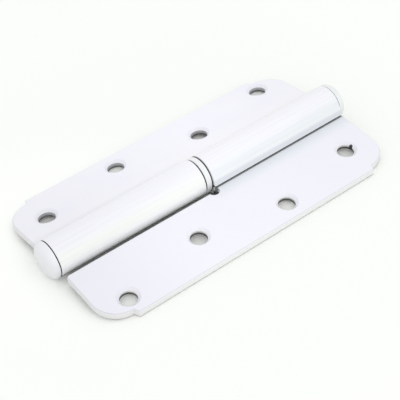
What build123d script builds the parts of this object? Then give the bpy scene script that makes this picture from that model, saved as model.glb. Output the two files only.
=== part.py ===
"""Surface mount hinge, 110 x 64 mm: two identical pressed leaves, a pin, a ring and an end plug.

Frame: X along the pin, Y across the leaves, Z up. The origin is on the floor under the middle of the
barrel. The hinge lies as on a table: on the barrel and on the two outer edges of the leaves.
Lengths are in millimetres, angles in degrees.
"""
import os
from math import asin, atan2, cos, degrees, hypot, radians, sin

from build123d import *

os.makedirs("parts", exist_ok=True)

# Leaf blank
length = 110.0              # both leaves, along the pin
reach = 32.0                # pin axis to the outer long edge
sheet = 2.5                 # sheet thickness
edge_round = 0.45           # soft outline of the pressed and painted sheet, upper side
back_round = 0.22           # the same on the back

# Barrel
barrel_r = 6.25             # outside of the rolled knuckle
bore_r = barrel_r - sheet   # inside of the rolled knuckle
barrel_drop = 3.25          # the barrel reaches this far below the back of the leaf
axis_up = barrel_r - barrel_drop    # pin axis above the back of the leaf
ring_space = 2.5            # between the two knuckles
knuckle_round = 0.25        # worn edge at the ends of each knuckle

# Bend between leaf and knuckle, and the lip that closes the roll
bend_angle = 30.0           # slope of the sheet as it runs under the barrel
bend_r = 2.0                # inside radius of the bend, on the back of the leaf
lip_angle = 34.0            # above the axis, where the roll stops curving and runs straight
lip_gap = 0.45              # between the end of the roll and the leaf
lip_round = 0.3             # worn corner of the lip

# Inner edge of the leaf beside the other leaf's knuckle
free_gap = 1.8              # between the other barrel and the free edge
free_edge = barrel_r + free_gap
free_corner_r = 1.0         # its corner at the end of the leaf
relief_r = 1.85             # relief cut at the root of the tab
relief_x = 0.1              # its centre, past the middle on the side of the tab
relief_in = 0.15            # its centre, this far inside the free edge

# Punched outer corners
corner_r = 8.5
corner_step = 1.8           # depth of the step between the arc and the raw edge
corner_run = 0.8            # length of the sloping step, along the leaf

# Screw holes, zigzag and countersunk
hole_r = 2.8
hole_count = 4              # in each leaf
hole_end = 10.0             # leaf end to the first hole
hole_edge = 6.5             # outer long edge to the outer row
row_stagger = 5.75          # outer row to inner row
sink_depth = 0.95           # of the 90 degree countersink

# Pin, ring and plug
run_gap = 0.05              # radial clearance where parts turn
press = 0.02                # radial interference where parts are held
ring_side_gap = 0.28        # each side of the ring
ring_gap = 0.10             # ring on the pin, radial
ring_step = 0.1             # the ring lies this much below the knuckles
pin_gap = 2.0               # free end of the pin to the plug
pin_lead = 1.2              # taper at the free end, along the pin
pin_taper = 0.85            # and in radius
shoulder_back = 1.0         # pin shoulder, inside the holding knuckle
shoulder_lead = 0.2         # its short cone
head_step = 0.05            # the heads lie this much below the knuckles
head_gap = 0.22             # under the pin's head
plug_gap = 0.08             # under the plug's head
head_rim = 1.0              # straight part of the head
head_dome = 2.6             # dome above it, half an ellipse
head_round = 0.3            # worn edge of its flat side
head_root = 0.5             # the shank's reach into the head
plug_stem = 9.0             # plug inside the knuckle
plug_lead = 0.8             # taper at its inner end, along the pin
plug_taper = 0.6            # and in radius

# Slope of the leaves as the hinge lies on a floor: barrel and outer edges touch it
slope = degrees(asin(barrel_r / hypot(reach, axis_up)) - atan2(axis_up, reach))

half = length / 2
hole_pitch = (length - 2 * hole_end) / (hole_count - 1)
row_outer = reach - hole_edge
deep = 3 * sheet            # height of the cutters that go through the leaf
near = 0.01                 # edges are found within this distance
knuckle_in = ring_space / 2
top = sheet - axis_up       # upper face of the leaf, measured from the axis
back = -axis_up             # lower face of the leaf
th = radians(bend_angle)
la = radians(lip_angle)
bend_start = (barrel_r + bend_r - (axis_up + bend_r) * cos(th)) / sin(th)


def polar(r, a):
    """Point at radius r and angle a (radians above the horizontal, leaf side) in the section."""
    return (r * cos(a), r * sin(a))


def lip_end(r):
    """Where the straight lip line that leaves radius r reaches its end, lip_gap above the leaf."""
    run = (r * sin(la) - top - lip_gap) / cos(la)
    c, s = polar(r, la)
    return (c + run * sin(la), s - run * cos(la))


def section(face, a, b):
    """Extrude a face drawn in the section plane (first axis away from the pin, second up), a < x < b."""
    return extrude(Plane(origin=(a, 0, 0), x_dir=(0, 1, 0), z_dir=(1, 0, 0)) * face, b - a)


def sheet_face():
    """Flat leaf, bend and slope down to the point where the sheet starts to follow the pin."""
    cy = back - bend_r
    mid = th / 2
    r_top = bend_r + sheet
    with BuildSketch() as sk:
        with BuildLine():
            under_0 = (reach, back)
            under_1 = (bend_start, back)
            under_2 = (bend_start - bend_r * sin(th), cy + bend_r * cos(th))
            under_3 = (barrel_r * sin(th), -barrel_r * cos(th))
            over_3 = (bore_r * sin(th), -bore_r * cos(th))
            over_2 = (bend_start - r_top * sin(th), cy + r_top * cos(th))
            over_1 = (bend_start, top)
            over_0 = (reach, top)
            Line(under_0, under_1)
            ThreePointArc(under_1, (bend_start - bend_r * sin(mid), cy + bend_r * cos(mid)), under_2)
            Line(under_2, under_3)
            Line(under_3, over_3)
            Line(over_3, over_2)
            ThreePointArc(over_2, (bend_start - r_top * sin(mid), cy + r_top * cos(mid)), over_1)
            Line(over_1, over_0)
            Line(over_0, under_0)
        make_face()
    return sk.sketch


def roll_face():
    """The rolled part: from under the pin, round the far side, over the top and down to the lip."""
    start = th - radians(90)            # where the sheet starts to follow the pin
    far = radians(180)
    with BuildSketch() as sk:
        with BuildLine():
            Line(polar(bore_r, start), polar(barrel_r, start))
            ThreePointArc(polar(barrel_r, start), polar(barrel_r, far), polar(barrel_r, la))
            Line(polar(barrel_r, la), lip_end(barrel_r))
            Line(lip_end(barrel_r), lip_end(bore_r))
            Line(lip_end(bore_r), polar(bore_r, la))
            ThreePointArc(polar(bore_r, la), polar(bore_r, far), polar(bore_r, start))
        make_face()
        fillet(sk.vertices().sort_by_distance(lip_end(barrel_r))[0], lip_round)
    return sk.sketch


def blank_outline():
    """Plan of the flat leaf: x along the pin, y away from it, tab side at negative x."""
    arc_x = half - corner_r                     # centre of the corner arc
    arc_y = reach - corner_step - corner_r
    k = corner_r * sin(radians(45))
    with BuildSketch() as sk:
        with BuildLine():
            tip = reach - corner_step
            Line((half, arc_y), (half, free_edge))
            Line((half, free_edge), (-half, free_edge))
            Line((-half, free_edge), (-half, arc_y))
            ThreePointArc((-half, arc_y), (-arc_x - k, arc_y + k), (-arc_x, tip))
            Line((-arc_x, tip), (corner_run - arc_x, reach))
            Line((corner_run - arc_x, reach), (arc_x - corner_run, reach))
            Line((arc_x - corner_run, reach), (arc_x, tip))
            ThreePointArc((arc_x, tip), (arc_x + k, arc_y + k), (half, arc_y))
        make_face()
        fillet(sk.vertices().sort_by_distance((half, free_edge))[0], free_corner_r)
    return sk.sketch


def hole_places():
    """Zigzag row, outer row first at the end away from the tab."""
    for i in range(hole_count):
        x = ((hole_count - 1) / 2 - i) * hole_pitch
        yield x, row_outer - (i % 2) * row_stagger


def leaf():
    """One pressed leaf with its tab rolled at negative x, flat, the pin axis on the X axis."""
    flat = extrude(Plane.XY.offset(back) * blank_outline(), sheet)
    flat = fillet(flat.edges().filter_by(lambda e: abs(e.center().Z - top) < near), edge_round)
    flat = fillet(flat.edges().filter_by(lambda e: abs(e.center().Z - back) < near), back_round)
    tab_reach = free_edge + 2 * edge_round      # the tab overlaps the flat leaf's rounded inner edge
    tab_box = Pos(-(half + knuckle_in) / 2, tab_reach / 2, back) * Box(half - knuckle_in, tab_reach, deep)
    tab = section(sheet_face(), -half, -knuckle_in) & tab_box
    for height, radius in ((top, edge_round), (back, back_round)):
        end = tab.edges().filter_by(lambda e: abs(e.center().X + half) < near and e.center().Y > bend_start)
        tab = fillet(end.filter_by(lambda e: abs(e.center().Z - height) < near), radius)
    body = flat + tab
    body -= Pos(-relief_x, free_edge - relief_in, back) * Cylinder(relief_r, deep)
    roll = section(roll_face(), -half, -knuckle_in)
    roll = fillet(roll.edges().filter_by(GeomType.CIRCLE).filter_by(
        lambda e: abs(e.radius - barrel_r) < near and e.length > barrel_r), knuckle_round)
    body += roll
    for x, y in hole_places():
        body -= Pos(x, y, back) * Cylinder(hole_r, deep)
        body -= Pos(x, y, top - sink_depth / 2) * Cone(hole_r, hole_r + sink_depth, sink_depth)
    return body


def head():
    """Domed head standing on the YZ plane at x = 0 and growing towards +X."""
    r = barrel_r - head_step
    with BuildSketch() as sk:
        with BuildLine():
            Line((0, 0), (0, r))
            Line((0, r), (head_rim, r))
            EllipticalCenterArc((head_rim, 0), head_dome, r, start_angle=0, arc_size=90)
            Line((head_rim + head_dome, 0), (0, 0))
        make_face()
    body = revolve(sk.sketch, Axis.X)
    return fillet(body.edges().filter_by(lambda e: e.center().X < head_round), head_round)


def rod(points):
    """Solid of revolution about X from (x, radius) corners."""
    with BuildSketch() as sk:
        with BuildLine():
            Polyline((points[0][0], 0), *points, (points[-1][0], 0), close=True)
        make_face()
    return revolve(sk.sketch, Axis.X)


def lay(shape, turn=False):
    """Slope a leaf down by the resting angle and lift the axis to its height above the floor."""
    shape = Rot(X=-slope) * shape
    if turn:
        shape = Rot(Z=180) * shape
    return Pos(0, 0, barrel_r) * shape


one_leaf = leaf()
leaf_rear = lay(one_leaf)
leaf_front = lay(one_leaf, turn=True)

held_r = bore_r + press
run_r = bore_r - run_gap
head_seat = half + head_gap
plug_seat = half + plug_gap
plug_in = half - plug_stem
pin_end = plug_in - pin_gap
shoulder = -knuckle_in - shoulder_back
pin = rod([(-head_seat - head_root, held_r), (shoulder, held_r), (shoulder + shoulder_lead, run_r),
           (pin_end - pin_lead, run_r), (pin_end, run_r - pin_taper)])
pin += Pos(-head_seat, 0, 0) * Rot(Z=180) * head()
hinge_pin = Pos(0, 0, barrel_r) * pin

plug = rod([(plug_in, bore_r - plug_taper), (plug_in + plug_lead, held_r), (plug_seat + head_root, held_r)])
plug += Pos(plug_seat, 0, 0) * head()
end_plug = Pos(0, 0, barrel_r) * plug

ring_half = knuckle_in - ring_side_gap
ring_r = barrel_r - ring_step
ring = rod([(-ring_half, ring_r), (ring_half, ring_r)])
ring = fillet(ring.edges().filter_by(GeomType.CIRCLE), knuckle_round)
ring -= Rot(Y=90) * Cylinder(run_r + ring_gap, 2 * ring_space)
bearing_ring = Pos(0, 0, barrel_r) * ring

for name, shape in {"leaf_rear": leaf_rear, "leaf_front": leaf_front, "hinge_pin": hinge_pin,
                    "bearing_ring": bearing_ring, "end_plug": end_plug}.items():
    export_step(shape, f"parts/{name}.step")
    b = shape.bounding_box()
    print(f"{name}: volume {shape.volume:.0f} mm3, solids {len(shape.solids())}, "
          f"x {b.min.X:.2f}..{b.max.X:.2f}, y {b.min.Y:.2f}..{b.max.Y:.2f}, z {b.min.Z:.2f}..{b.max.Z:.2f}")
print(f"slope of the leaves {slope:.2f} degrees, bend starts {bend_start:.2f} mm from the axis")
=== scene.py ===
# %% [markdown]
# # A white coated door hinge
# The solids of this hinge come from the construction model and already have their true shape: two leaves of
# rolled sheet, a pin with a domed head, a bearing ring and an end plug. This lesson gives them their looks:
# the camera, a light tent, and a white coating that changes with the place. Blender works in metres, with X
# along the pin, Y across the leaves and Z up. Sizes on the hinge are written in millimetres.

# %% Load the frame
import math

import bpy
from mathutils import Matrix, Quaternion, Vector

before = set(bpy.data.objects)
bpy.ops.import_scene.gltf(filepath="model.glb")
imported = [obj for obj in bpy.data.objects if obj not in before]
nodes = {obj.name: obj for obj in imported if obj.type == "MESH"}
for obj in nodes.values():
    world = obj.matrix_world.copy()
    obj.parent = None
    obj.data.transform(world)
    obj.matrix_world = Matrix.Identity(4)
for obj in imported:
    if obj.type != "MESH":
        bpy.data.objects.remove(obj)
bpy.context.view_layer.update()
mm = 0.001
scene = bpy.context.scene
print("pieces:", ", ".join(sorted(nodes)))

# %% [markdown]
# ## Sizes of the hinge
# The coat follows the hinge: the pin's axis, the sloping leaves and the rows of screw holes. These sizes
# could be measured on the solids, but a faceted solid is a little smaller than the true one. So they are
# those of the construction model. The barrel stands on the table and is the highest part too, so its
# radius is half the height. The outer edges of the leaves also touch the table, and from that follows how
# far they slope. A row of holes is given by one hole, along and out from the pin.

# %% Sizes in millimetres
BARREL_RADIUS = 6.25
LEAF_END = 55.0
LEAF_REACH = 32.0
AXIS_ABOVE_BACK = 3.0
HOLE_ROWS = ((45.0, 25.5), (15.0, 19.75))
HOLE_PITCH = 60.0
HOLE_RADIUS = 2.8

down_to_edge = math.asin(BARREL_RADIUS / math.hypot(LEAF_REACH, AXIS_ABOVE_BACK))
LEAF_SLOPE = round(math.degrees(down_to_edge - math.atan2(AXIS_ABOVE_BACK, LEAF_REACH)), 3)

# %% [markdown]
# ## Camera
# The photograph was taken with a long lens from the front left, looking down at about forty degrees. A camera
# could be placed by eye. Here its place, its lens and the small roll were fitted to the eight screw holes,
# so the picture can be compared with the photograph line by line.

# %% Place the camera
camera_place = Vector((-149.03, -223.91, 237.92)) * mm
camera_target = Vector((-2.64, -3.66, 0.0)) * mm
camera_roll = math.radians(-5.92)
camera_lens = 101.21
camera_sensor = 36.0

camera = bpy.data.objects.new("camera", bpy.data.cameras.new("camera"))
scene.collection.objects.link(camera)
camera.data.lens = camera_lens
camera.data.sensor_width = camera_sensor
camera.data.clip_start = 0.01
look = (camera_target - camera_place).to_track_quat("-Z", "Y")
camera.rotation_mode = "QUATERNION"
camera.rotation_quaternion = look @ Quaternion((0, 0, 1), camera_roll)
camera.location = camera_place
scene.camera = camera
print("camera", round((camera_target - camera_place).length / mm), "mm from the middle of the picture")

# %% [markdown]
# ## Small helpers for node trees
# A material is a graph of nodes. It could be joined by hand in the shader editor, but a script can be read
# and run again. A few short functions keep the later cells readable: they add a node, join or set a
# socket, do a step of arithmetic, mix two colours, and map one range of values to another.


# %% Helpers: nodes and sockets
def put(tree, socket, value):
    """Link a socket to another, or set its value; a colour is given as red, green and blue."""
    if isinstance(value, bpy.types.NodeSocket):
        tree.links.new(value, socket)
    elif socket.type == "RGBA":
        socket.default_value = (*value, 1.0)
    else:
        socket.default_value = value


def add(tree, kind, **inputs):
    """Add a shader node. Inputs are set by name, with _ for a space."""
    node = tree.nodes.new(kind)
    for name, value in inputs.items():
        put(tree, node.inputs[name.replace("_", " ")], value)
    return node


def mix_colour(tree, share, colour, towards):
    """Move a colour towards another by a share of 0 to 1."""
    node = tree.nodes.new("ShaderNodeMix")
    node.data_type = "RGBA"
    for socket, value in zip((node.inputs[0], node.inputs[6], node.inputs[7]), (share, colour, towards)):
        put(tree, socket, value)
    return node.outputs[2]


print("helpers for sockets, nodes and colours are ready")


# %% Helpers: arithmetic
def math_node(tree, operation, a, b=0.0):
    """One step of arithmetic."""
    node = tree.nodes.new("ShaderNodeMath")
    node.operation = operation
    put(tree, node.inputs[0], a)
    put(tree, node.inputs[1], b)
    return node.outputs[0]


def times(tree, first, *others):
    """The product of all values; it joins masks that must all be true."""
    for other in others:
        first = math_node(tree, "MULTIPLY", first, other)
    return first


def plus(tree, first, *others):
    """The sum of all values."""
    for other in others:
        first = math_node(tree, "ADD", first, other)
    return first


def largest(tree, first, *others):
    """The largest of all values; it joins masks of which one must be true."""
    for other in others:
        first = math_node(tree, "MAXIMUM", first, other)
    return first


def without(tree, mask):
    """Everything that a mask leaves out."""
    return math_node(tree, "SUBTRACT", 1.0, mask)


print("helpers for arithmetic are ready")


# %% Helpers: ranges
def span(tree, value, low, high, at_low=0.0, at_high=1.0):
    """Map a range of values to another, with soft ends."""
    node = tree.nodes.new("ShaderNodeMapRange")
    node.interpolation_type = "SMOOTHSTEP"
    for name, x in (("Value", value), ("From Min", low), ("From Max", high), ("To Min", at_low),
                    ("To Max", at_high)):
        put(tree, node.inputs[name], x)
    return node.outputs[0]


def fade_out(tree, value, full_until, gone_at, most=1.0):
    """A mask that is full up to one value and gone at the next."""
    return span(tree, value, full_until, gone_at, most, 0.0)


def below(tree, value, limit):
    """A mask with a hard edge: 1 below the limit."""
    return math_node(tree, "LESS_THAN", value, limit)


def above(tree, value, limit):
    """A mask with a hard edge: 1 above the limit."""
    return math_node(tree, "GREATER_THAN", value, limit)


print("helpers for ranges are ready")

# %% [markdown]
# ## Node groups
# An effect that several finishes use is built once as a group and gets its own values in each material. Two
# more helpers make an empty group with named sockets and place a group in a tree. The patterns read the
# object coordinates, which are metres on this part and don't slide when a leaf swings.


# %% Helpers: groups
def group(name, inputs, outputs):
    """An empty node group with named number sockets; gives the tree, its input and its output node."""
    tree = bpy.data.node_groups.new(name, "ShaderNodeTree")
    for label, value in inputs.items():
        socket = tree.interface.new_socket(label, in_out="INPUT", socket_type="NodeSocketFloat")
        socket.default_value = value
    for label in outputs:
        tree.interface.new_socket(label, in_out="OUTPUT", socket_type="NodeSocketFloat")
    return tree, tree.nodes.new("NodeGroupInput"), tree.nodes.new("NodeGroupOutput")


def use(tree, node_group, **inputs):
    """Place a node group in a material and set its inputs by name, with _ for a space."""
    node = tree.nodes.new("ShaderNodeGroup")
    node.node_tree = node_group
    for name, value in inputs.items():
        put(tree, node.inputs[name.replace("_", " ")], value)
    return node


def object_place(tree):
    """The object coordinates of the point that is shaded."""
    return add(tree, "ShaderNodeTexCoord").outputs["Object"]


def place_in_mm(tree, axis_height=0.0):
    """X, Y and Z of the point in millimetres; Z is counted from the pin's axis where its height is given."""
    parts = add(tree, "ShaderNodeSeparateXYZ", Vector=object_place(tree))
    x, y, z = (math_node(tree, "DIVIDE", parts.outputs[label], mm) for label in "XYZ")
    return x, y, math_node(tree, "SUBTRACT", z, axis_height)


def from_centre(tree, a, b):
    """Distance of a point from the place where two rulers are zero."""
    return math_node(tree, "SQRT", plus(tree, times(tree, a, a), times(tree, b, b)))


print("helpers for groups and places are ready")

# %% [markdown]
# ## The coat up close
# The steel is coated white, and such a coat isn't quite even. Its tint changes slowly, and its surface is
# softly wavy. Painted pictures of this could be wrapped round the hinge, but noise needs no pictures and has
# no seams. Two noises of different sizes are enough: the large one gives the tint, and the small one gives
# the height for a bump.


# %% Group: slow tint and waviness
def make_coat_waviness():
    tree, inp, out = group("coat waviness", {"Tint size mm": 14.0, "Wave size mm": 1.2}, ("Tint", "Height"))
    place = object_place(tree)
    tint = add(tree, "ShaderNodeTexNoise", Vector=place, Detail=3.0, Roughness=0.55,
               Scale=math_node(tree, "DIVIDE", 1 / mm, inp.outputs["Tint size mm"]))
    wave = add(tree, "ShaderNodeTexNoise", Vector=place, Detail=2.0, Roughness=0.5,
               Scale=math_node(tree, "DIVIDE", 1 / mm, inp.outputs["Wave size mm"]))
    put(tree, out.inputs["Tint"], span(tree, tint.outputs["Fac"], 0.3, 0.7))
    put(tree, out.inputs["Height"], wave.outputs["Fac"])
    return tree


coat_waviness = make_coat_waviness()
print("made the group", coat_waviness.name)

# %% [markdown]
# ## Specks
# A few grains of dust were caught in the coat and show as small grey dots. Each could be placed by hand, but
# a Voronoi texture has one centre in each of its cells, and a small disc round every centre makes the dots.
# Only a share of the cells is used, picked by the random colour that each cell has, because a dot in every
# cell would look like a pattern.


# %% Group: specks in the coat
def make_coat_specks():
    tree, inp, out = group("coat specks", {"Spacing mm": 5.0, "Speck mm": 0.3, "Share": 0.5}, ("Speck",))
    cells = add(tree, "ShaderNodeTexVoronoi", Vector=object_place(tree),
                Scale=math_node(tree, "DIVIDE", 1 / mm, inp.outputs["Spacing mm"]))
    edge = math_node(tree, "DIVIDE", inp.outputs["Speck mm"], inp.outputs["Spacing mm"])
    dot = fade_out(tree, cells.outputs["Distance"], times(tree, edge, 0.25), edge)
    pick = add(tree, "ShaderNodeSeparateColor", Color=cells.outputs["Color"]).outputs["Red"]
    put(tree, out.inputs["Speck"], times(tree, dot, below(tree, pick, inp.outputs["Share"])))
    return tree


coat_specks = make_coat_specks()
print("made the group", coat_specks.name)

# %% [markdown]
# ## Streaks of the roll
# The knuckles are rolled sheet, and fine lines along the barrel show through the coat. They are a noise
# that is stretched along the pin: each coordinate is divided by its own size before the noise reads it. A
# wave texture would make lines too, but much too evenly.


# %% Group: streaks left by rolling
def make_roll_streaks():
    tree, inp, out = group("roll streaks", {"Width mm": 0.7, "Length mm": 30.0}, ("Streak",))
    parts = add(tree, "ShaderNodeSeparateXYZ", Vector=object_place(tree))
    along = math_node(tree, "DIVIDE", parts.outputs["X"], inp.outputs["Length mm"])
    across = math_node(tree, "DIVIDE", parts.outputs["Y"], inp.outputs["Width mm"])
    up = math_node(tree, "DIVIDE", parts.outputs["Z"], inp.outputs["Width mm"])
    stretched = add(tree, "ShaderNodeCombineXYZ", X=along, Y=across, Z=up)
    noise = add(tree, "ShaderNodeTexNoise", Vector=stretched.outputs[0], Scale=1 / mm, Detail=2.0)
    put(tree, out.inputs["Streak"], span(tree, noise.outputs["Fac"], 0.35, 0.65))
    return tree


roll_streaks = make_roll_streaks()
print("made the group", roll_streaks.name)

# %% [markdown]
# ## Where on the barrel
# A finish changes with the place: the roll has streaks, and the inside of a joint stays dark. The pieces
# could be cut into several materials, but a mask can have a soft edge and leaves the mesh alone. Three
# groups describe the barrel. The first mask is full up to a radius round the pin's axis, the second grows
# with the angle round it, and the third is full between two places along it.


# %% Group: near the pin's axis
def make_near_axis():
    tree, inp, out = group("near the axis", {"Axis height mm": BARREL_RADIUS, "Radius mm": 6.0,
                                             "Fade mm": 0.6}, ("Mask",))
    _, y, z = place_in_mm(tree, inp.outputs["Axis height mm"])
    outer = plus(tree, inp.outputs["Radius mm"], inp.outputs["Fade mm"])
    put(tree, out.inputs["Mask"], fade_out(tree, from_centre(tree, y, z), inp.outputs["Radius mm"], outer))
    return tree


near_axis = make_near_axis()
print("made the group", near_axis.name)


# %% Group: round the barrel
def make_round_barrel():
    """The angle is counted from the top of the barrel towards the near leaf; the far side is negative."""
    tree, inp, out = group("round the barrel", {"Axis height mm": BARREL_RADIUS, "From deg": 45.0,
                                                "To deg": 70.0}, ("Mask",))
    _, y, z = place_in_mm(tree, inp.outputs["Axis height mm"])
    angle = math_node(tree, "DEGREES", math_node(tree, "ARCTAN2", times(tree, y, -1.0), z))
    put(tree, out.inputs["Mask"], span(tree, angle, inp.outputs["From deg"], inp.outputs["To deg"]))
    return tree


round_barrel = make_round_barrel()
print("made the group", round_barrel.name)


# %% Group: within the barrel
def make_within_barrel():
    tree, inp, out = group("within the barrel", {"Half mm": LEAF_END, "Fade mm": 0.06}, ("Mask",))
    along = math_node(tree, "ABSOLUTE", place_in_mm(tree)[0])
    outer = plus(tree, inp.outputs["Half mm"], inp.outputs["Fade mm"])
    put(tree, out.inputs["Mask"], fade_out(tree, along, inp.outputs["Half mm"], outer))
    return tree


within_barrel = make_within_barrel()
print("made the group", within_barrel.name)

# %% [markdown]
# ## A ruler on the leaf
# The leaves slope down from the barrel, so world axes don't fit them. This group turns the coordinates by
# the slope and gives three lengths: along the pin, out from the pin, and up from the back of the leaf. Both
# leaves are the same pressing, turned by half a turn, so the side, 1 or -1, makes one ruler do for both:
# along is negative on the half that carries the leaf's own knuckle.


# %% Group: ruler on a leaf
def make_leaf_ruler():
    tree, inp, out = group("leaf ruler", {"Side": 1.0, "Slope deg": LEAF_SLOPE,
                                          "Axis height mm": BARREL_RADIUS,
                                          "Axis above back mm": AXIS_ABOVE_BACK}, ("Along", "Out", "Up"))
    x, y, z = place_in_mm(tree, inp.outputs["Axis height mm"])
    sideways = times(tree, y, inp.outputs["Side"])
    slope = math_node(tree, "RADIANS", inp.outputs["Slope deg"])
    cosine = math_node(tree, "COSINE", slope)
    sine = math_node(tree, "SINE", slope)
    put(tree, out.inputs["Along"], times(tree, x, inp.outputs["Side"]))
    put(tree, out.inputs["Out"],
        math_node(tree, "SUBTRACT", times(tree, sideways, cosine), times(tree, z, sine)))
    put(tree, out.inputs["Up"],
        plus(tree, times(tree, sideways, sine), times(tree, z, cosine), inp.outputs["Axis above back mm"]))
    return tree


leaf_ruler = make_leaf_ruler()
print("made the group", leaf_ruler.name)

# %% [markdown]
# ## The rounded rim
# All edges of the pressed sheet are rounded, and the coat looks different there. The outline could be traced
# with the ruler, corner by corner. The tilt of the surface against the flat of the leaf finds the rim without
# that. Line is the start of the rounding and Band is the steep edge below it.


# %% Group: rounded rim of a leaf
def make_leaf_rim():
    tree, inp, out = group("leaf rim", {"Side": 1.0, "Slope deg": LEAF_SLOPE}, ("Line", "Band"))
    slope = math_node(tree, "RADIANS", inp.outputs["Slope deg"])
    lean = times(tree, math_node(tree, "SINE", slope), inp.outputs["Side"])
    leaf_up = add(tree, "ShaderNodeCombineXYZ", X=0.0, Y=lean, Z=math_node(tree, "COSINE", slope))
    facing = tree.nodes.new("ShaderNodeVectorMath")
    facing.operation = "DOT_PRODUCT"
    put(tree, facing.inputs[0], add(tree, "ShaderNodeTexCoord").outputs["Normal"])
    put(tree, facing.inputs[1], leaf_up.outputs[0])
    tilt = facing.outputs["Value"]
    put(tree, out.inputs["Line"], times(tree, fade_out(tree, tilt, 0.84, 0.97), span(tree, tilt, 0.4, 0.75)))
    put(tree, out.inputs["Band"], fade_out(tree, tilt, 0.1, 0.5))
    return tree


leaf_rim = make_leaf_rim()
print("made the group", leaf_rim.name)

# %% [markdown]
# ## Rows of holes
# Each leaf has four screw holes in zigzag, which are two rows of two with the same pitch. The wrap step of
# the Math node folds the ruler back on itself after every pitch, so one circle serves all holes of a row. A
# pitch longer than the leaf leaves a single circle, and that serves the relief notch and a dark spot.


# %% Group: one row of round places
def make_hole_row():
    """Mask is the circle itself; Round it is a wider disc that keeps other masks away from it."""
    tree, inp, out = group("hole row", {"Along": 0.0, "Out": 0.0, "First mm": 0.0, "Pitch mm": HOLE_PITCH,
                                        "Row mm": 0.0, "Radius mm": HOLE_RADIUS, "Fade mm": 0.1,
                                        "Round mm": 1.2}, ("Mask", "Round it"))
    half = times(tree, inp.outputs["Pitch mm"], 0.5)
    wrap = tree.nodes.new("ShaderNodeMath")
    wrap.operation = "WRAP"
    put(tree, wrap.inputs[0], math_node(tree, "SUBTRACT", inp.outputs["Along"], inp.outputs["First mm"]))
    put(tree, wrap.inputs[1], half)
    put(tree, wrap.inputs[2], times(tree, half, -1.0))
    across = math_node(tree, "SUBTRACT", inp.outputs["Out"], inp.outputs["Row mm"])
    away = from_centre(tree, wrap.outputs[0], across)
    outer = plus(tree, inp.outputs["Radius mm"], inp.outputs["Fade mm"])
    put(tree, out.inputs["Mask"], fade_out(tree, away, inp.outputs["Radius mm"], outer))
    put(tree, out.inputs["Round it"], below(tree, away, plus(tree, outer, inp.outputs["Round mm"])))
    return tree


hole_row = make_hole_row()
print("made the group", hole_row.name)

# %% [markdown]
# ## Colours of the coat
# The coat is white. Lighter whites are painted light, and greys to black are painted shade: on the lower
# edge of the sheet, in the holes and the notch, under the lip, in the slot and inside the joint. The light
# tent shows a colour about as it is, so the tints are close to those in the photograph.

# %% Colours
# Painted light, whiter than the coat.
PAINTED_LIGHT_WHITE = (0.99, 0.98, 1.0)
# Painted light at the very bottom of the knuckle.
LOWEST_PAINTED_LIGHT = (0.985, 0.99, 0.995)
EDGE_COAT = (0.91, 0.91, 0.905)
# Painted shade at the top of the notch's wall.
NOTCH_TOP_SHADE = (0.80, 0.80, 0.82)
# Painted shade in the gap below the lip.
LIP_GAP_SHADE = (0.30, 0.30, 0.31)
# Painted shade along the lower edge of the sheet.
LOWER_EDGE_SHADE = (0.22, 0.22, 0.23)
# Painted shade in the joint and inside the barrel.
JOINT_SHADE = (0.10, 0.10, 0.105)
# Black: painted shade in the holes, the slot and the rim line, and the colour of the dark spot at a hole's
# rim.
NEAR_BLACK = (0.03, 0.03, 0.03)
SPECK_GREY = (0.25, 0.25, 0.27)
STREAK_GREY = (0.10, 0.10, 0.10)
# Painted shade at the ends of a leaf.
END_SHADE = (0.02, 0.02, 0.02)
LIP_SHADE = (0.05, 0.25, 0.25)
print("colours from", NEAR_BLACK, "to", PAINTED_LIGHT_WHITE)

# %% [markdown]
# ## The two leaves differ
# One material could serve both leaves, but in the photograph the far leaf is lighter, so each has its own
# tints; the two leaves are the same pressing, so the far leaf's lighter whites are painted light. Cool and
# clean are the whites of the flat, and the next two those of the top and of the lower front of the knuckle;
# the lower front is a painted yellow-green highlight on the far leaf and painted shade on the near leaf. Then
# come the colour of a screw hole's wall, greyer on the far leaf with painted shade, and the height up to
# which the wall is dark with painted shade. The next number says how dark the painted shade is at the end of
# the knuckle beside the ring. The last is a small dark spot on the near leaf at the rim of a hole: along,
# out and radius.

# %% Tints of the leaves
leaf_tints = {
    "leaf_front": dict(
        name="near leaf coat", side=-1.0, cool=(0.91, 0.905, 0.975), clean=(0.92, 0.92, 0.975),
        roll=(0.955, 0.95, 0.99), low_roll_light_shade=(0.88, 0.91, 0.935), hole=(0.90, 0.90, 0.875), wall_shade_to=0.9,
        ring_gap_shade=0.5, dark_spot=(-47.6, 19.3, 0.55), plain_roughness=0.46, streak_roughness=0.34),
    "leaf_rear": dict(
        name="far leaf coat", side=1.0, cool=(0.935, 0.925, 0.995), clean=(0.95, 0.945, 0.995),
        roll=(0.96, 0.955, 1.0), low_roll_light_shade=(0.97, 0.985, 0.945), hole=(0.50, 0.50, 0.52), wall_shade_to=0.6,
        ring_gap_shade=0.9, dark_spot=None, plain_roughness=0.46, streak_roughness=0.28),
}
print("tints for", ", ".join(leaf_tints))

# %% [markdown]
# ## Finish of the leaves, layer by layer
# A leaf and its knuckle are one piece of sheet and get one material. The whole colour could be one long
# function, but layers are easier to follow: each function below takes the coat as it is, lays one effect
# over it and gives the new coat back. The first one only measures, so that no place is worked out twice.


# %% Places on a leaf
def places_on_leaf(tree, side):
    """The ruler's lengths, the masks of the roll and of the flat, and the two masks of the rim."""
    ruler = use(tree, leaf_ruler, Side=side)
    rim = use(tree, leaf_rim, Side=side)
    roll = use(tree, near_axis, Radius_mm=BARREL_RADIUS + 0.1, Fade_mm=0.5).outputs["Mask"]
    return {"along": ruler.outputs["Along"], "out": ruler.outputs["Out"], "up": ruler.outputs["Up"],
            "roll": roll, "flat": without(tree, roll),
            "rim line": rim.outputs["Line"], "rim band": rim.outputs["Band"]}


print("the places on a leaf can be measured")

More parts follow.
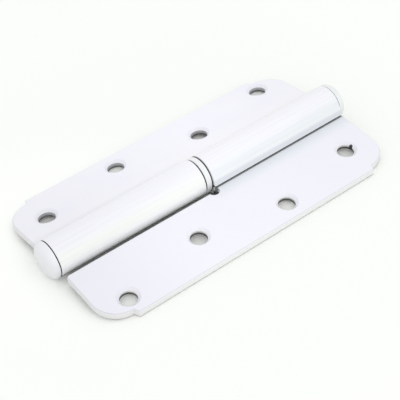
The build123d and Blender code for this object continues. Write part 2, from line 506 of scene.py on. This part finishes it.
# %% [markdown]
# ## Tints of the flat and of the roll
# The flat moves slowly between two cool whites. The roll has painted light and shade of its own tint at
# the lower front, painted light at the very bottom, towards the leaf below, and painted light again on its
# far side. The lamps could be tuned for this, but then every other surface would change too. The streaks
# take a little of the white away, and the specks are laid over everything.

# %% Base coat
STREAK_SHARE = 0.035
SPECK_SHARE = 0.2
FAR_SIDE_LIGHT_SHARE = 0.8


def base_coat(tree, at, tints, tint_noise, streak):
    low_front_painted = use(tree, round_barrel, From_deg=30.0, To_deg=65.0).outputs["Mask"]
    lowest_light = use(tree, round_barrel, From_deg=66.0, To_deg=86.0).outputs["Mask"]
    far_side_light = use(tree, round_barrel, From_deg=-5.0, To_deg=-35.0).outputs["Mask"]
    # Painted light and shade on the roll: its lower front, its very bottom and its far side.
    rolled = mix_colour(tree, low_front_painted, tints["roll"], tints["low_roll_light_shade"])
    rolled = mix_colour(tree, lowest_light, rolled, LOWEST_PAINTED_LIGHT)
    rolled = mix_colour(tree, times(tree, far_side_light, FAR_SIDE_LIGHT_SHARE), rolled, PAINTED_LIGHT_WHITE)
    rolled = mix_colour(tree, times(tree, streak, STREAK_SHARE), rolled, STREAK_GREY)
    flat = mix_colour(tree, tint_noise, tints["cool"], tints["clean"])
    return mix_colour(tree, at["roll"], flat, rolled)


def specks_on(tree, coat):
    specks = use(tree, coat_specks, Spacing_mm=9.0, Speck_mm=0.55, Share=0.2)
    return mix_colour(tree, times(tree, specks.outputs["Speck"], SPECK_SHARE), coat, SPECK_GREY)


print("the base coat has streaks of", STREAK_SHARE, "and specks of", SPECK_SHARE)

# %% [markdown]
# ## Shades across the leaf
# Beside the roll of the far leaf the flat has painted light. The rim has the plainer white of a cut edge. A
# leaf is lightest a little beside its middle and has painted shade towards both ends, more on the left than
# on the right. On the flat next to each lip, where the rolled sheet ends, lies a faint cool painted shade. A
# gradient in a picture would have to be fitted to each leaf, while a soft span of the ruler fits both.

# %% Shades of the flat
LIGHTEST_AT = 15.0
GREYEST_AT = 58.0
LEFT_END_SHADE = 0.085
RIGHT_END_SHADE = 0.05


# Painted light on the flat beside the far leaf's roll.
def light_beside_roll_on(tree, coat, at):
    painted_light = times(tree, fade_out(tree, at["out"], 10.0, 18.0, most=0.6), at["flat"])
    return mix_colour(tree, painted_light, coat, PAINTED_LIGHT_WHITE)


def rim_on(tree, coat, at):
    return mix_colour(tree, times(tree, at["rim band"], at["flat"]), coat, EDGE_COAT)


# Painted shade towards both ends of a leaf, for the light falling off there.
def shaded_ends_on(tree, coat, at, side):
    own_share, other_share = (LEFT_END_SHADE, RIGHT_END_SHADE) if side > 0 else (RIGHT_END_SHADE, LEFT_END_SHADE)
    own_half = times(tree, span(tree, at["along"], LIGHTEST_AT, -GREYEST_AT), own_share)
    other_half = times(tree, span(tree, at["along"], LIGHTEST_AT, GREYEST_AT), other_share)
    return mix_colour(tree, plus(tree, own_half, other_half), coat, END_SHADE)


def shade_by_lip_on(tree, coat, at):
    beside_lip = fade_out(tree, at["out"], 7.5, 13.0, most=0.14)
    own_half = below(tree, at["along"], 0.0)
    return mix_colour(tree, times(tree, beside_lip, own_half, at["flat"]), coat, LIP_SHADE)


print("the ends of a leaf are greyer by", LEFT_END_SHADE, "on the left and", RIGHT_END_SHADE, "on the right")

# %% [markdown]
# ## Holes and the line of the rim
# The countersinks are coated, and the straight wall of a hole has painted shade that is dark near the back
# of the sheet. Along the outline, the start of the rounding shows as a thin darker line of painted shade. It
# could be a thin groove in the mesh, but the tilt of the surface gives it without one. The line is kept off
# the countersinks, off the lower edge of the sheet and off the bend of the far leaf, which are just as
# tilted.

# %% Holes and rim line
WALL_MARGIN = 0.03
RIM_LINE_SHADE = 0.22
LINE_ABOVE = 1.25
BEND_END = 9.0


# Painted shade: a hole's wall turns dark towards the back of the sheet, and the line along the rounding is
# painted shade too.
def holes_on(tree, coat, at, tints):
    wall_shade = fade_out(tree, at["up"], tints["wall_shade_to"] - 0.4, tints["wall_shade_to"] + 0.4)
    wall = mix_colour(tree, wall_shade, tints["hole"], NEAR_BLACK)
    line = times(tree, at["rim line"], at["flat"], RIM_LINE_SHADE, above(tree, at["up"], LINE_ABOVE))
    if tints["side"] > 0:
        line = times(tree, line, above(tree, at["out"], BEND_END))
    for first, row in HOLE_ROWS:
        holes = use(tree, hole_row, Along=at["along"], Out=at["out"], First_mm=first, Row_mm=row,
                    Radius_mm=HOLE_RADIUS + WALL_MARGIN)
        coat = mix_colour(tree, holes.outputs["Mask"], coat, wall)
        line = times(tree, line, without(tree, holes.outputs["Round it"]))
    return mix_colour(tree, line, coat, NEAR_BLACK)


print("rows of holes:", len(HOLE_ROWS))

# %% [markdown]
# ## Notch and dark spot
# A round notch relieves the corner between a leaf and its knuckle. Its wall is nearly white at the top and
# turns dark further down with painted shade. The dark spot is a small black mark at the rim of a hole. Both
# are single circles, so the group for the holes makes them too, with a pitch that is longer than the leaf.

# %% Notch and dark spot
ONE_ONLY = 400.0
NOTCH_ALONG = -0.1
NOTCH_OUT = 7.9
NOTCH_RADIUS = 1.85


# Painted shade: the notch's wall goes from nearly white at the top to black further down.
def notch_on(tree, coat, at):
    notch = use(tree, hole_row, Along=at["along"], Out=at["out"], First_mm=NOTCH_ALONG, Pitch_mm=ONE_ONLY,
                Row_mm=NOTCH_OUT, Radius_mm=NOTCH_RADIUS + WALL_MARGIN)
    wall = mix_colour(tree, fade_out(tree, at["up"], 0.2, 1.2), NOTCH_TOP_SHADE, NEAR_BLACK)
    below_top = fade_out(tree, at["up"], 2.45, 2.6)
    return mix_colour(tree, times(tree, notch.outputs["Mask"], below_top), coat, wall)


def dark_spot_on(tree, coat, at, dark_spot):
    along, row, radius = dark_spot
    spot = use(tree, hole_row, Along=at["along"], Out=at["out"], First_mm=along, Pitch_mm=ONE_ONLY,
                Row_mm=row, Radius_mm=radius, Fade_mm=0.2)
    return mix_colour(tree, spot.outputs["Mask"], coat, NEAR_BLACK)


print("the notch has a radius of", NOTCH_RADIUS, "mm")

# %% [markdown]
# ## The gap below the lip
# The lip is the end of the rolled sheet, and it nearly touches its own leaf. The narrow gap below it has a
# grey painted shade. Ambient occlusion would darken the flat beside it as well, so a small box on the ruler
# is coloured: a height above the back, a depth out from the pin, and a length.

# %% Gap below the lip
LIP_FROM = 5.5
LIP_TO = 7.5


# Painted shade in the narrow gap below the lip.
def shade_below_lip_on(tree, coat, at):
    height = times(tree, span(tree, at["up"], 0.5, 0.8), fade_out(tree, at["up"], 2.85, 3.0))
    depth = times(tree, above(tree, at["out"], LIP_FROM), fade_out(tree, at["out"], LIP_TO, LIP_TO + 0.2))
    length = times(tree, below(tree, at["along"], -1.5), above(tree, at["along"], 0.2 - LEAF_END))
    return mix_colour(tree, times(tree, height, depth, length), coat, LIP_GAP_SHADE)


print("the gap lies from", LIP_FROM, "to", LIP_TO, "mm out from the pin")

# %% [markdown]
# ## Dark slot and lower edge
# Beside each knuckle runs a narrow slot to the other leaf, and the eye sees it black, so the knuckle's flank
# there has painted shade. A fixed dark mask would stay on the knuckle when the leaf swings away. The Ambient
# Occlusion node asks instead whether something is within three millimetres, so the painted shade comes and
# goes with the leaf. The lower edge of the sheet, just above the back, has painted contact shade all round.

# %% Slot and lower edge
SLOT_REACH = 3.0
CLOSE_SAMPLES = 8


def shut_in(tree, full_until, gone_at, most=1.0):
    """How much a place is shut in by what stands close to it; the node gives 1 for an open place."""
    nearby = add(tree, "ShaderNodeAmbientOcclusion", Distance=SLOT_REACH * mm)
    nearby.samples = CLOSE_SAMPLES
    return fade_out(tree, nearby.outputs["AO"], full_until, gone_at, most)


# Painted shade on the knuckle's flank where the slot shuts it in.
def slot_shade_on(tree, coat, at):
    flank = times(tree, fade_out(tree, at["up"], -0.55, 0.05), below(tree, at["out"], -2.0))
    return mix_colour(tree, times(tree, flank, shut_in(tree, 0.75, 0.95)), coat, NEAR_BLACK)


# Painted contact shade on the lower edge of the sheet.
def lower_edge_shade_on(tree, coat, at):
    low = times(tree, fade_out(tree, at["up"], 0.1, 0.42), span(tree, at["up"], 0.02, 0.05), at["flat"])
    return mix_colour(tree, low, coat, LOWER_EDGE_SHADE)


print("the slot is dark where something is within", SLOT_REACH, "mm")

# %% [markdown]
# ## Inside the joint
# The ends of the knuckles beside the ring, and all that is inside the barrel, are dark with painted shade.
# Their faces could be picked one by one. Two masks do it without touching the mesh: one near the middle of
# the ruler, and one near the pin's axis.


# %% Joint
# Painted shade in the gaps beside the ring and inside the barrel.
def joint_shade_on(tree, coat, at, ring_gap_shade):
    beside_ring = fade_out(tree, math_node(tree, "ABSOLUTE", at["along"]), 1.42, 1.6, most=ring_gap_shade)
    coat = mix_colour(tree, times(tree, beside_ring, at["roll"]), coat, JOINT_SHADE)
    inside = use(tree, near_axis, Radius_mm=BARREL_RADIUS - 0.2, Fade_mm=0.15)
    return mix_colour(tree, inside.outputs["Mask"], coat, JOINT_SHADE)


print("the joint's colour is", JOINT_SHADE)

# %% [markdown]
# ## A satin surface
# Every finish of the hinge is a Principled BSDF with a thin clear gloss over it, which is the coat weight.
# The waviness goes into a Bump node with a height of a few thousandths of a millimetre, enough to soften the
# reflections. Real displacement would need a very fine mesh for the same look.


# %% Material helper
def new_finish(name, tint_size, wave_size, bump_height, gloss, gloss_roughness):
    """A new material; gives the material, its tree, its shader and the noise for its tint."""
    material = bpy.data.materials.new(name)
    material.use_nodes = True
    tree = material.node_tree
    shader = tree.nodes["Principled BSDF"]
    waviness = use(tree, coat_waviness, Tint_size_mm=tint_size, Wave_size_mm=wave_size)
    bump = add(tree, "ShaderNodeBump", Height=waviness.outputs["Height"], Distance=bump_height * mm,
               Strength=1.0)
    put(tree, shader.inputs["Normal"], bump.outputs[0])
    put(tree, shader.inputs["Coat Weight"], gloss)
    put(tree, shader.inputs["Coat Roughness"], gloss_roughness)
    return material, tree, shader, waviness.outputs["Tint"]


print("a satin finish can be started")

# %% [markdown]
# ## The whole finish of a leaf
# Now the layers are laid in their order, from the base coat to the dark of the joint. A material for each
# layer would need its own faces, but here they share one shader. The streaks of the roll are a little
# smoother than the flat, so they also show in the reflections.


# %% Finish of the leaves
def leaf_finish(tints):
    material, tree, shader, tint_noise = new_finish(tints["name"], tint_size=16.0, wave_size=1.4,
                                                    bump_height=0.004, gloss=0.25, gloss_roughness=0.2)
    side = tints["side"]
    at = places_on_leaf(tree, side)
    streak = use(tree, roll_streaks, Width_mm=0.8, Length_mm=26.0).outputs["Streak"]
    coat = base_coat(tree, at, tints, tint_noise, streak)
    coat = specks_on(tree, coat)
    if side > 0:
        coat = light_beside_roll_on(tree, coat, at)
    coat = rim_on(tree, coat, at)
    coat = shaded_ends_on(tree, coat, at, side)
    coat = shade_by_lip_on(tree, coat, at)
    coat = holes_on(tree, coat, at, tints)
    coat = notch_on(tree, coat, at)
    if tints["dark_spot"]:
        coat = dark_spot_on(tree, coat, at, tints["dark_spot"])
    coat = shade_below_lip_on(tree, coat, at)
    coat = slot_shade_on(tree, coat, at)
    coat = lower_edge_shade_on(tree, coat, at)
    put(tree, shader.inputs["Base Color"], joint_shade_on(tree, coat, at, tints["ring_gap_shade"]))
    put(tree, shader.inputs["Roughness"],
        span(tree, times(tree, at["roll"], streak), 0.0, 1.0, tints["plain_roughness"],
             tints["streak_roughness"]))
    return material


coats = {piece: leaf_finish(tints) for piece, tints in leaf_tints.items()}
print("made", ", ".join(coat.name for coat in coats.values()))

# %% [markdown]
# ## Finish of the turned parts
# The pin's head, the plug and the ring were turned and then coated. They are a little glossier than the
# leaves and have finer waves. Only their outsides are white: inside the barrel, where the pin runs, they
# are dark with the joint's painted shade. They could be split there into two materials. Instead, two masks
# of the barrel keep the painted shade below its surface and end it just past its ends.


# %% Finish of the turned parts
def turned_finish(name, tint, roughness, core, half_length):
    """White coat; painted shade from the core radius inwards, up to the half length on both sides of the
    middle.
    """
    material, tree, shader, tint_noise = new_finish(name, tint_size=6.0, wave_size=0.9, bump_height=0.003,
                                                    gloss=0.35, gloss_roughness=0.15)
    deeper = tuple(0.96 * channel for channel in tint)
    coat = mix_colour(tree, tint_noise, tint, deeper)
    inside = use(tree, near_axis, Radius_mm=core, Fade_mm=0.12)
    between_ends = use(tree, within_barrel, Half_mm=half_length)
    shaded_inside = times(tree, inside.outputs["Mask"], between_ends.outputs["Mask"])
    put(tree, shader.inputs["Base Color"], mix_colour(tree, shaded_inside, coat, JOINT_SHADE))
    put(tree, shader.inputs["Roughness"], roughness)
    return material


# The head and the plug have a greyer white than the ring and the leaves: painted shade on their end faces.
coats["hinge_pin"] = turned_finish("head coat", (0.85, 0.85, 0.88), roughness=0.32,
                                   core=BARREL_RADIUS - 0.25, half_length=LEAF_END + 0.3)
coats["end_plug"] = turned_finish("plug coat", (0.85, 0.87, 0.87), roughness=0.32,
                                  core=BARREL_RADIUS - 0.25, half_length=LEAF_END + 0.1)
coats["bearing_ring"] = turned_finish("ring coat", (0.90, 0.91, 0.92), roughness=0.3,
                                      core=BARREL_RADIUS - 0.35, half_length=1.2)
print("finishes for the hinge:", len(coats))

# %% [markdown]
# ## Put the finishes on
# Each solid gets one material, and whatever its mesh came with is taken off first. Faces could be given
# several materials, but they are left as they are: the construction model is the master of all shapes.

# %% Put the finishes on
for piece, coat in coats.items():
    mesh = nodes[piece].data
    mesh.materials.clear()
    mesh.materials.append(coat)
    print(piece, "has", coat.name)

# %% [markdown]
# ## Floor
# The hinge lies on a white sheet that fades into the background. A lit sheet alone would be greyer than the
# picture's white, and more lamps would bleach the hinge. So the sheet has a light of its own that only the
# camera sees: Is Camera Ray in the Light Path node keeps it from lighting anything. The next functions say
# where the floor lies open. Under the barrel and the inner part of the far leaf there is no such light, so
# that the slot stays black. Where the straight end of a leaf stands close to the sheet there is less of it,
# because a contact shadow is darkest right at the edge. Ambient occlusion finds that place, so the shadow
# goes along when a leaf swings.


# %% Where the floor lies open
def open_floor(tree):
    """1 on the open floor and under the near leaf, 0 under the barrel and the inner part of the far leaf."""
    x, y, _ = place_in_mm(tree)
    in_front = fade_out(tree, y, -8.0, -4.5)
    behind = span(tree, y, 22.0, 28.0)
    beside = span(tree, math_node(tree, "ABSOLUTE", x), LEAF_END - 5.0, LEAF_END - 1.0)
    return largest(tree, in_front, behind, beside)


def against_leaf_end(tree):
    """Up to 0.9 where the straight end of a leaf stands close to the sheet."""
    x, y, _ = place_in_mm(tree)
    across = math_node(tree, "ABSOLUTE", y)
    at_end = span(tree, math_node(tree, "ABSOLUTE", x), LEAF_END - 1.5, LEAF_END - 0.5)
    straight = times(tree, span(tree, across, 6.0, 8.0), fade_out(tree, across, 17.0, 24.0))
    return times(tree, shut_in(tree, 0.6, 0.95, most=0.9), at_end, straight)


print("the floor's masks are ready")

# %% [markdown]
# ## The sheet's own light
# The light is a sum of three parts, and each is a span of the distance from a place. One fades out from a
# place behind the head, where the photograph's shadow is light. One rises a little beside the hinge, and
# one rises slowly over the far floor, where the lamps are weak. The same light everywhere would be simpler,
# but then one of these places would come out grey or too light.

# %% Own light of the sheet
BEHIND_HEAD = (-0.045, 0.013, 0)


def distance_from(tree, centre):
    """Distance of the point that is shaded from a centre, both in metres."""
    node = tree.nodes.new("ShaderNodeVectorMath")
    node.operation = "DISTANCE"
    put(tree, node.inputs[0], object_place(tree))
    put(tree, node.inputs[1], centre)
    return node.outputs["Value"]


def own_light(tree):
    from_middle = distance_from(tree, (0, 0, 0))
    behind_head = fade_out(tree, distance_from(tree, BEHIND_HEAD), 0.0, 0.057, most=0.061)
    beside_hinge = span(tree, from_middle, 0.077, 0.106, 0.118, 0.126)
    far_away = span(tree, from_middle, 0.3, 1.2, 0.0, 0.055)
    return plus(tree, behind_head, beside_hinge, far_away)


print("one part fades out from", round(Vector(BEHIND_HEAD).length / mm), "mm beside the middle of the hinge")

# %% [markdown]
# ## Lay the sheet
# The floor is one square face. A curved backdrop would do as well, but a flat sheet is enough when it is far
# larger than the picture, so that no border shows. Its white has a little less blue, because the light of
# the tent has a little more.

# %% White sheet
FLOOR_SIZE = 3.0

sheet_finish = bpy.data.materials.new("white sheet")
sheet_finish.use_nodes = True
sheet_tree = sheet_finish.node_tree
sheet_shader = sheet_tree.nodes["Principled BSDF"]
put(sheet_tree, sheet_shader.inputs["Base Color"], (0.855, 0.866, 0.833))
put(sheet_tree, sheet_shader.inputs["Roughness"], 0.9)
put(sheet_tree, sheet_shader.inputs["Specular IOR Level"], 0.2)
put(sheet_tree, sheet_shader.inputs["Emission Color"], (1.0, 1.0, 1.0))
seen_by_camera = add(sheet_tree, "ShaderNodeLightPath").outputs["Is Camera Ray"]
not_at_end = without(sheet_tree, against_leaf_end(sheet_tree))
put(sheet_tree, sheet_shader.inputs["Emission Strength"],
    times(sheet_tree, seen_by_camera, open_floor(sheet_tree), not_at_end, own_light(sheet_tree)))

corner = FLOOR_SIZE / 2
sheet_corners = [(-corner, -corner, 0), (corner, -corner, 0), (corner, corner, 0), (-corner, corner, 0)]
sheet_mesh = bpy.data.meshes.new("floor")
sheet_mesh.from_pydata(sheet_corners, [], [(0, 1, 2, 3)])
sheet_mesh.materials.append(sheet_finish)
floor = bpy.data.objects.new("floor", sheet_mesh)
scene.collection.objects.link(floor)
print("floor of", FLOOR_SIZE, "m with", sheet_finish.name)

# %% [markdown]
# ## Light tent
# The photograph has no hard shadow, as in a light tent, where white cloth on all sides gives the same light.
# Many lamps could stand round the hinge, but the world does it alone. It is slightly weaker and cooler as a
# light than it looks: to the camera and in reflections it shows as plain white, which the kinds of rays in
# the Light Path node tell apart.

# %% World
TENT_STRENGTH = 0.955
TENT_TINT = (0.98, 0.99, 1.0)
PLAIN_WHITE = (1.0, 1.0, 1.0)

world = bpy.data.worlds.new("light tent")
scene.world = world
world.use_nodes = True
tent_tree = world.node_tree
tent = tent_tree.nodes["Background"]
path = add(tent_tree, "ShaderNodeLightPath")
looked_at = largest(tent_tree, path.outputs["Is Camera Ray"], path.outputs["Is Glossy Ray"],
                    path.outputs["Is Transmission Ray"])
put(tent_tree, tent.inputs["Color"], mix_colour(tent_tree, looked_at, TENT_TINT, PLAIN_WHITE))
put(tent_tree, tent.inputs["Strength"],
    plus(tent_tree, TENT_STRENGTH, times(tent_tree, looked_at, 1.0 - TENT_STRENGTH)))
print("world", world.name, "with a strength of", TENT_STRENGTH)

# %% [markdown]
# ## Front lamp
# A tent alone leaves the near edges of the leaves as dark as the far ones. In the photograph they are
# lighter, so one wide weak lamp stands in front. It is large, because a small one would throw a shadow with
# a visible border.


# %% Lamp
def lamp(name, place, size, power, colour):
    """A square soft lamp that looks at the middle of the hinge."""
    data = bpy.data.lights.new(name, "AREA")
    data.shape = "SQUARE"
    data.size = size
    data.energy = power
    data.color = colour
    lamp_object = bpy.data.objects.new(name, data)
    scene.collection.objects.link(lamp_object)
    lamp_object.location = place
    lamp_object.rotation_euler = (-Vector(place)).to_track_quat("-Z", "Y").to_euler()
    print(name, "stands", round(Vector(place).length, 2), "m away")


lamp("front lamp", place=(0.05, -0.92, 0.6), size=1.2, power=1.85, colour=(1.0, 1.0, 0.97))

# %% [markdown]
# ## Finish
# The colours are shown as they are, without a film look.

# %% Finish
scene.view_settings.view_transform = "Standard"
